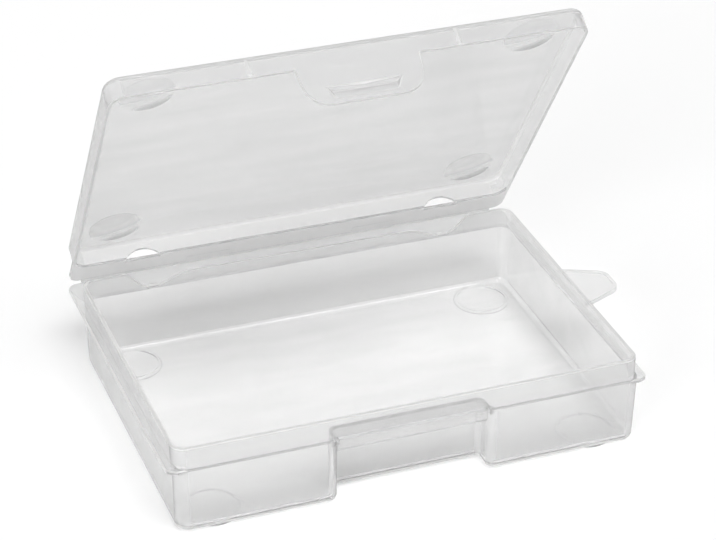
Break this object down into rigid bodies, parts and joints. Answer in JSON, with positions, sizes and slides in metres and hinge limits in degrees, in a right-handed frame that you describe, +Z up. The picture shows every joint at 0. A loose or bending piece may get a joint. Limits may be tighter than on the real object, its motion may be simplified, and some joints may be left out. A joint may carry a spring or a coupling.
{
  "type": "hinged plastic storage box",
  "caption": "Flat clear plastic box with a standing lip, a tray lid on a film hinge, a front latch flap and a side grip tab.",
  "frame": {"origin": "on the tub's underside, in the middle between its side walls and between its front and rear walls; the feet reach 0.6 mm below it", "axes": "+X to the side with the grip tab, +Y to the hinge, +Z up; the lid stands part open at rest"},
  "size_m": [0.1922, 0.1322, 0.1404],
  "materials": {
    "clear_plastic_base": "clear, slightly milky moulded polypropylene",
    "clear_plastic_lid": "clear, slightly milky moulded polypropylene"
  },
  "bodies": {
    "base": {"base": "clear_plastic_base"},
    "lid": {"lid": "clear_plastic_lid"}
  },
  "joints": [
    {"name": "lid_hinge", "type": "hinge", "parent": "base", "child": "lid", "pos_m": [0, 0.0713, 0.02585], "axis": [-1, 0, 0], "range_deg": [-56.5, 123.5]}
  ]
}
